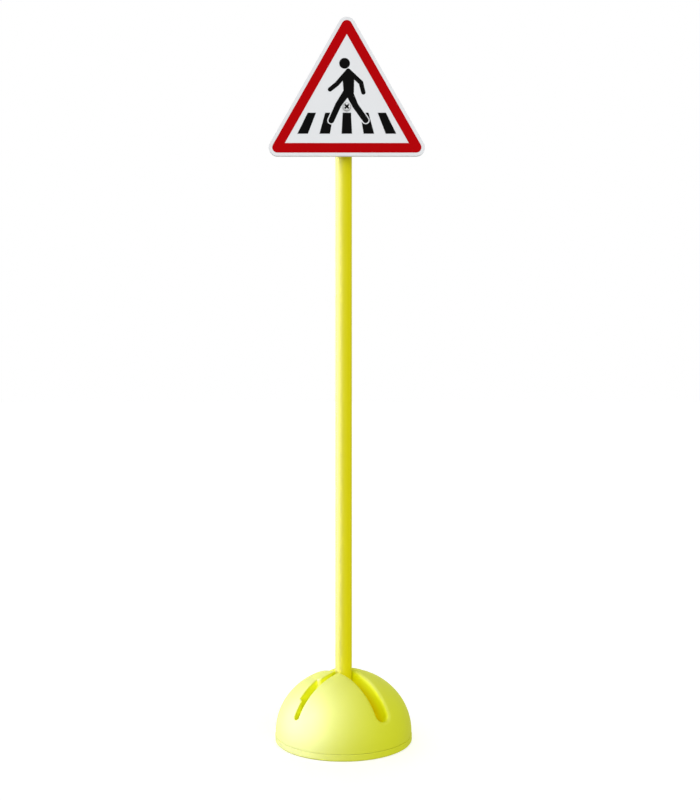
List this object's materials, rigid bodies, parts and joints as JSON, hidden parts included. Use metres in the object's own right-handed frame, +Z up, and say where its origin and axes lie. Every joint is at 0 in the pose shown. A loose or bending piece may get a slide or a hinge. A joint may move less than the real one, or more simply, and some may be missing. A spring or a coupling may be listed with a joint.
{
  "type": "road sign with weighted base",
  "caption": "Triangular pedestrian-crossing sign clipped to a plain tube pole that stands in a sand-filled dome base with crossed slots for boards and hoops.",
  "frame": {"origin": "middle of the base's flat underside, on the pole's axis", "axes": "+Z up along the pole, wide board slot along Y, narrow hoop slot 3.3 degrees off X; the sign faces towards -Y, turned about the pole towards -X"},
  "size_m": [0.2052, 0.2052, 1.0779],
  "materials": {
    "yellow_base_plastic": "satin moulded polyethylene",
    "yellow_pole_plastic": "smooth extruded PVC",
    "white_panel_plastic": "rigid foamed PVC sheet",
    "white_film": "self-adhesive vinyl",
    "red_film": "self-adhesive vinyl",
    "black_film": "self-adhesive vinyl",
    "black_clip_plastic": "moulded nylon",
    "zinc_plated_steel": "bright zinc plating",
    "black_rubber": "moulded rubber",
    "gasket_rubber": "soft yellow rubber strip",
    "sand": "dry grains"
  },
  "bodies": {
    "base": {"dome_shell": "yellow_base_plastic", "base_plate": "yellow_base_plastic", "base_gasket": "gasket_rubber", "plate_screws": "zinc_plated_steel", "sand_ballast": "sand"},
    "bung": {"filler_bung": "black_rubber"},
    "pole_foot": {"pole_foot_plug": "yellow_pole_plastic"},
    "pole": {"pole_tube": "yellow_pole_plastic", "pole_top_cap": "yellow_pole_plastic"},
    "sign": {"sign_plate": "white_panel_plastic", "white_face_film": "white_film", "red_border_film": "red_film", "crossing_stripes": "black_film", "walking_figure": "black_film", "sign_clip": "black_clip_plastic", "clip_nut": "zinc_plated_steel", "sign_screw": "zinc_plated_steel"}
  },
  "joints": [
    {"name": "pole_lift", "type": "slide", "parent": "base", "child": "pole_foot", "axis": [0, 0, 1], "range_m": [0, 0.092]},
    {"name": "pole_turn", "type": "hinge", "parent": "pole_foot", "child": "pole", "pos_m": [0, 0, 0.012], "axis": [0, 0, 1], "continuous": true},
    {"name": "sign_slide", "type": "slide", "parent": "pole", "child": "sign", "axis": [0, 0, 1], "range_m": [-0.75, 0.045]},
    {"name": "bung_pull", "type": "slide", "parent": "base", "child": "bung", "axis": [0, 0, -1], "range_m": [0, 0.02]}
  ]
}
